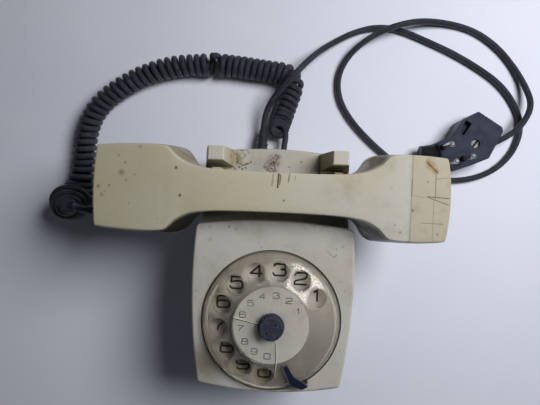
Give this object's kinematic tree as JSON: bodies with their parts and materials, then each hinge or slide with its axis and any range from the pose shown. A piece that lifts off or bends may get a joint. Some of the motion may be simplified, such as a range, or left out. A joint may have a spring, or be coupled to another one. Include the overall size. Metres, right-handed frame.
{
  "type": "rotary wall telephone",
  "caption": "Narrow rotary wall telephone with a clear dial wheel, a square-headed handset across its cradle, a curly handset cord and a line cord with a three-pin telephone plug.",
  "frame": {"origin": "middle of the object's back, on the plane of its wall pads", "axes": "+Z out of the wall towards the user, +Y up the wall, +X to the user's right along the handset"},
  "size_m": [0.3594, 0.2716, 0.096],
  "materials": {
    "housing_plastic": "satin moulded ABS, faded",
    "handset_plastic": "satin moulded ABS, yellowed",
    "number_plate_plastic": "printed plastic",
    "clear_plastic": "clear acrylic, scratched",
    "label_card": "printed card",
    "blued_steel": "dark lacquer",
    "zinc_steel": "zinc plated",
    "spring_steel": "blued spring steel",
    "brass": "turned",
    "plug_screw_metal": "nickel plated",
    "black_plastic": "moulded phenolic",
    "board_laminate": "phenolic board",
    "copper_winding": "enamelled wire",
    "capacitor_can": "drawn can",
    "capsule_metal": "pressed",
    "pad_rubber": "matte",
    "cord_sheath": "soft PVC, dark grey",
    "plug_plastic": "moulded, dark grey"
  },
  "bodies": {
    "base": {"housing": "housing_plastic", "base_plate": "housing_plastic", "wall_pads": "pad_rubber", "cover_screws": "zinc_steel", "dial_cup": "housing_plastic", "number_plate": "number_plate_plastic", "frame_plate": "zinc_steel", "frame_screws": "zinc_steel", "dial_bearing": "brass", "finger_stop": "blued_steel", "main_spring": "spring_steel", "governor_cup": "zinc_steel", "pulse_contacts": "black_plastic", "circuit_board": "board_laminate", "board_screws": "zinc_steel", "transformer": "copper_winding", "capacitor": "capacitor_can", "terminal_block": "black_plastic", "terminal_screws": "zinc_steel", "ringer_frame": "zinc_steel", "ringer_coils": "copper_winding", "gong_screws": "zinc_steel", "gong_left": "brass", "gong_right": "brass", "cradle_guides": "zinc_steel", "cradle_springs": "spring_steel", "hook_switch": "black_plastic", "line_relief": "cord_sheath", "curly_relief": "cord_sheath", "line_cord": "cord_sheath", "curly_tail": "cord_sheath", "curly_coil": "cord_sheath", "plug_base": "plug_plastic", "plug_cover": "plug_plastic", "plug_pins": "plug_screw_metal", "plug_screw": "plug_screw_metal", "plug_cap": "plug_plastic"},
    "dial": {"dial_shaft": "brass", "finger_wheel": "clear_plastic", "label_disc": "label_card", "label_window": "clear_plastic", "hub_ring": "blued_steel", "hub_cap": "blued_steel", "main_gear": "brass", "pulse_cam": "black_plastic"},
    "governor": {"governor_pinion": "brass", "governor_weights": "brass"},
    "clapper": {"clapper": "zinc_steel"},
    "cradle": {"cradle_arm_left": "housing_plastic", "cradle_arm_right": "housing_plastic", "cradle_yoke": "zinc_steel"},
    "handset": {"handset_shell": "handset_plastic", "ear_cap": "handset_plastic", "mouth_cap": "handset_plastic", "receiver": "capsule_metal", "transmitter": "capsule_metal", "handset_relief": "cord_sheath", "handset_tail": "cord_sheath", "curly_rise": "cord_sheath"}
  },
  "joints": [
    {"name": "dial_turn", "type": "hinge", "parent": "base", "child": "dial", "pos_m": [0.0033, -0.0324, 0.08], "axis": [0, 0, 1], "range_deg": [-335, 0], "stiffness_Nm_per_rad": 0.004, "springref_deg": 57.3},
    {"name": "governor_spin", "type": "hinge", "parent": "base", "child": "governor", "pos_m": [0.0033, -0.00815, 0.05], "axis": [0, 0, 1], "range_deg": [0, 1675]},
    {"name": "clapper_swing", "type": "hinge", "parent": "base", "child": "clapper", "pos_m": [0.0033, 0.0305, 0.02], "axis": [0, 0, 1], "range_deg": [-4, 4], "stiffness_Nm_per_rad": 0.002},
    {"name": "handset_lift", "type": "slide", "parent": "base", "child": "handset", "axis": [0, 0, 1], "range_m": [0, 0.06]},
    {"name": "cradle_rise", "type": "slide", "parent": "base", "child": "cradle", "axis": [0, 0, 1], "range_m": [0, 0.005]}
  ],
  "couplings": [
    {"joint": "governor_spin", "follows": "dial_turn", "ratio": -5},
    {"joint": "cradle_rise", "follows": "handset_lift", "ratio": 0.083}
  ]
}
